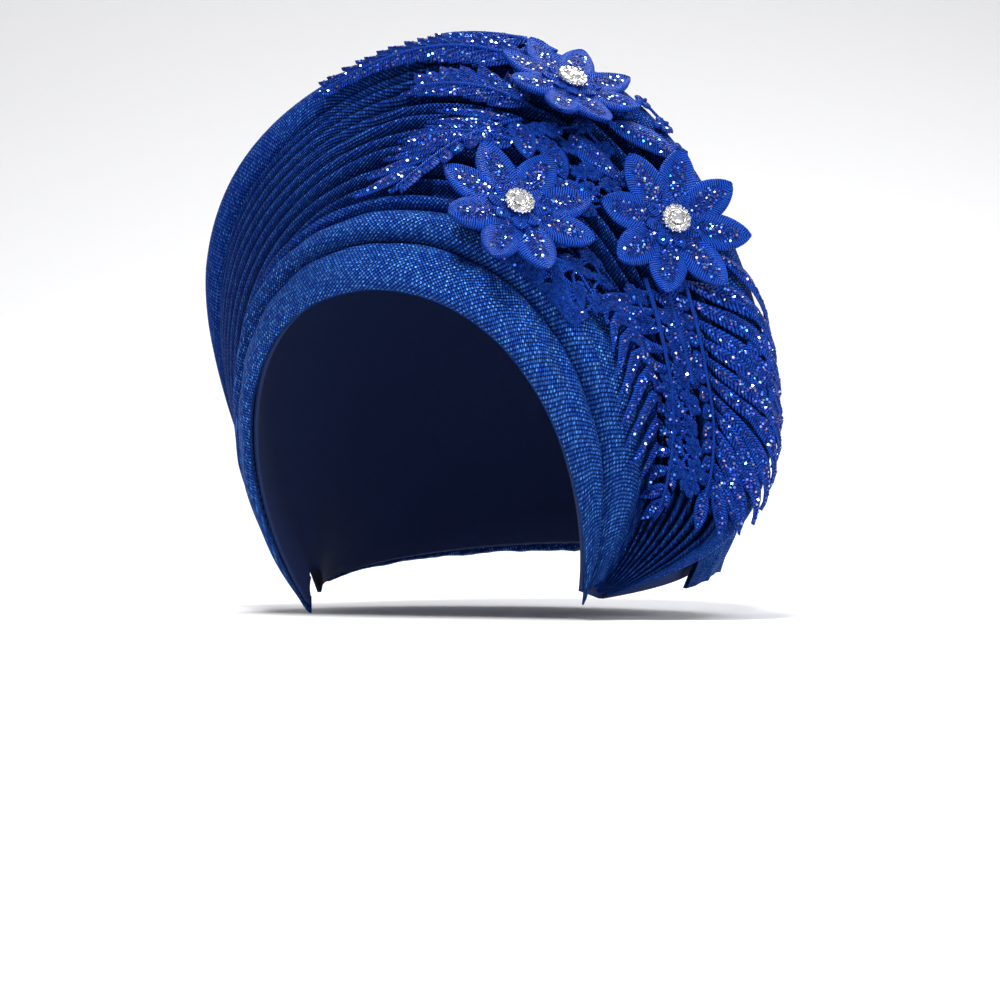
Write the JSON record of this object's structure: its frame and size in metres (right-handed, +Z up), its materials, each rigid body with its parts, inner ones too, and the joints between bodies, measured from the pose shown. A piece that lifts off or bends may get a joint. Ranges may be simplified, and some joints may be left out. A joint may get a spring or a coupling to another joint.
{
  "type": "tied gele head tie",
  "caption": "Ready-tied gele: a fitted cap with two folded front bands, a pleated fan that rises to a rolled rim, and lace flowers, fronds and crystal buttons on the wearer's left.",
  "frame": {"origin": "middle of the head opening at the level where head size is taken, just above the brows and the ears", "axes": "+Z up through the crown, -Y straight ahead of the wearer, +X to the wearer's left"},
  "size_m": [0.2293, 0.2085, 0.2252],
  "materials": {
    "cloth": "royal blue weave with a metallic thread",
    "lace": "corded lace with satin stitch and sequins",
    "setting": "bright plated setting",
    "stone": "clear faceted crystal"
  },
  "bodies": {
    "root": {"cap": "cloth", "front_band": "cloth", "upper_band": "cloth", "band_roll": "cloth", "pleated_fan": "cloth", "back_crown": "cloth", "flower_top": "lace", "flower_middle": "lace", "flower_side": "lace", "frond_top": "lace", "frond_crown": "lace", "frond_middle": "lace", "frond_inner": "lace", "frond_outer": "lace", "ground_middle": "lace", "ground_side": "lace", "ground_upper": "lace", "setting_top": "setting", "setting_middle": "setting", "setting_side": "setting", "stone_top": "stone", "stone_middle": "stone", "stone_side": "stone"}
  },
  "joints": []
}
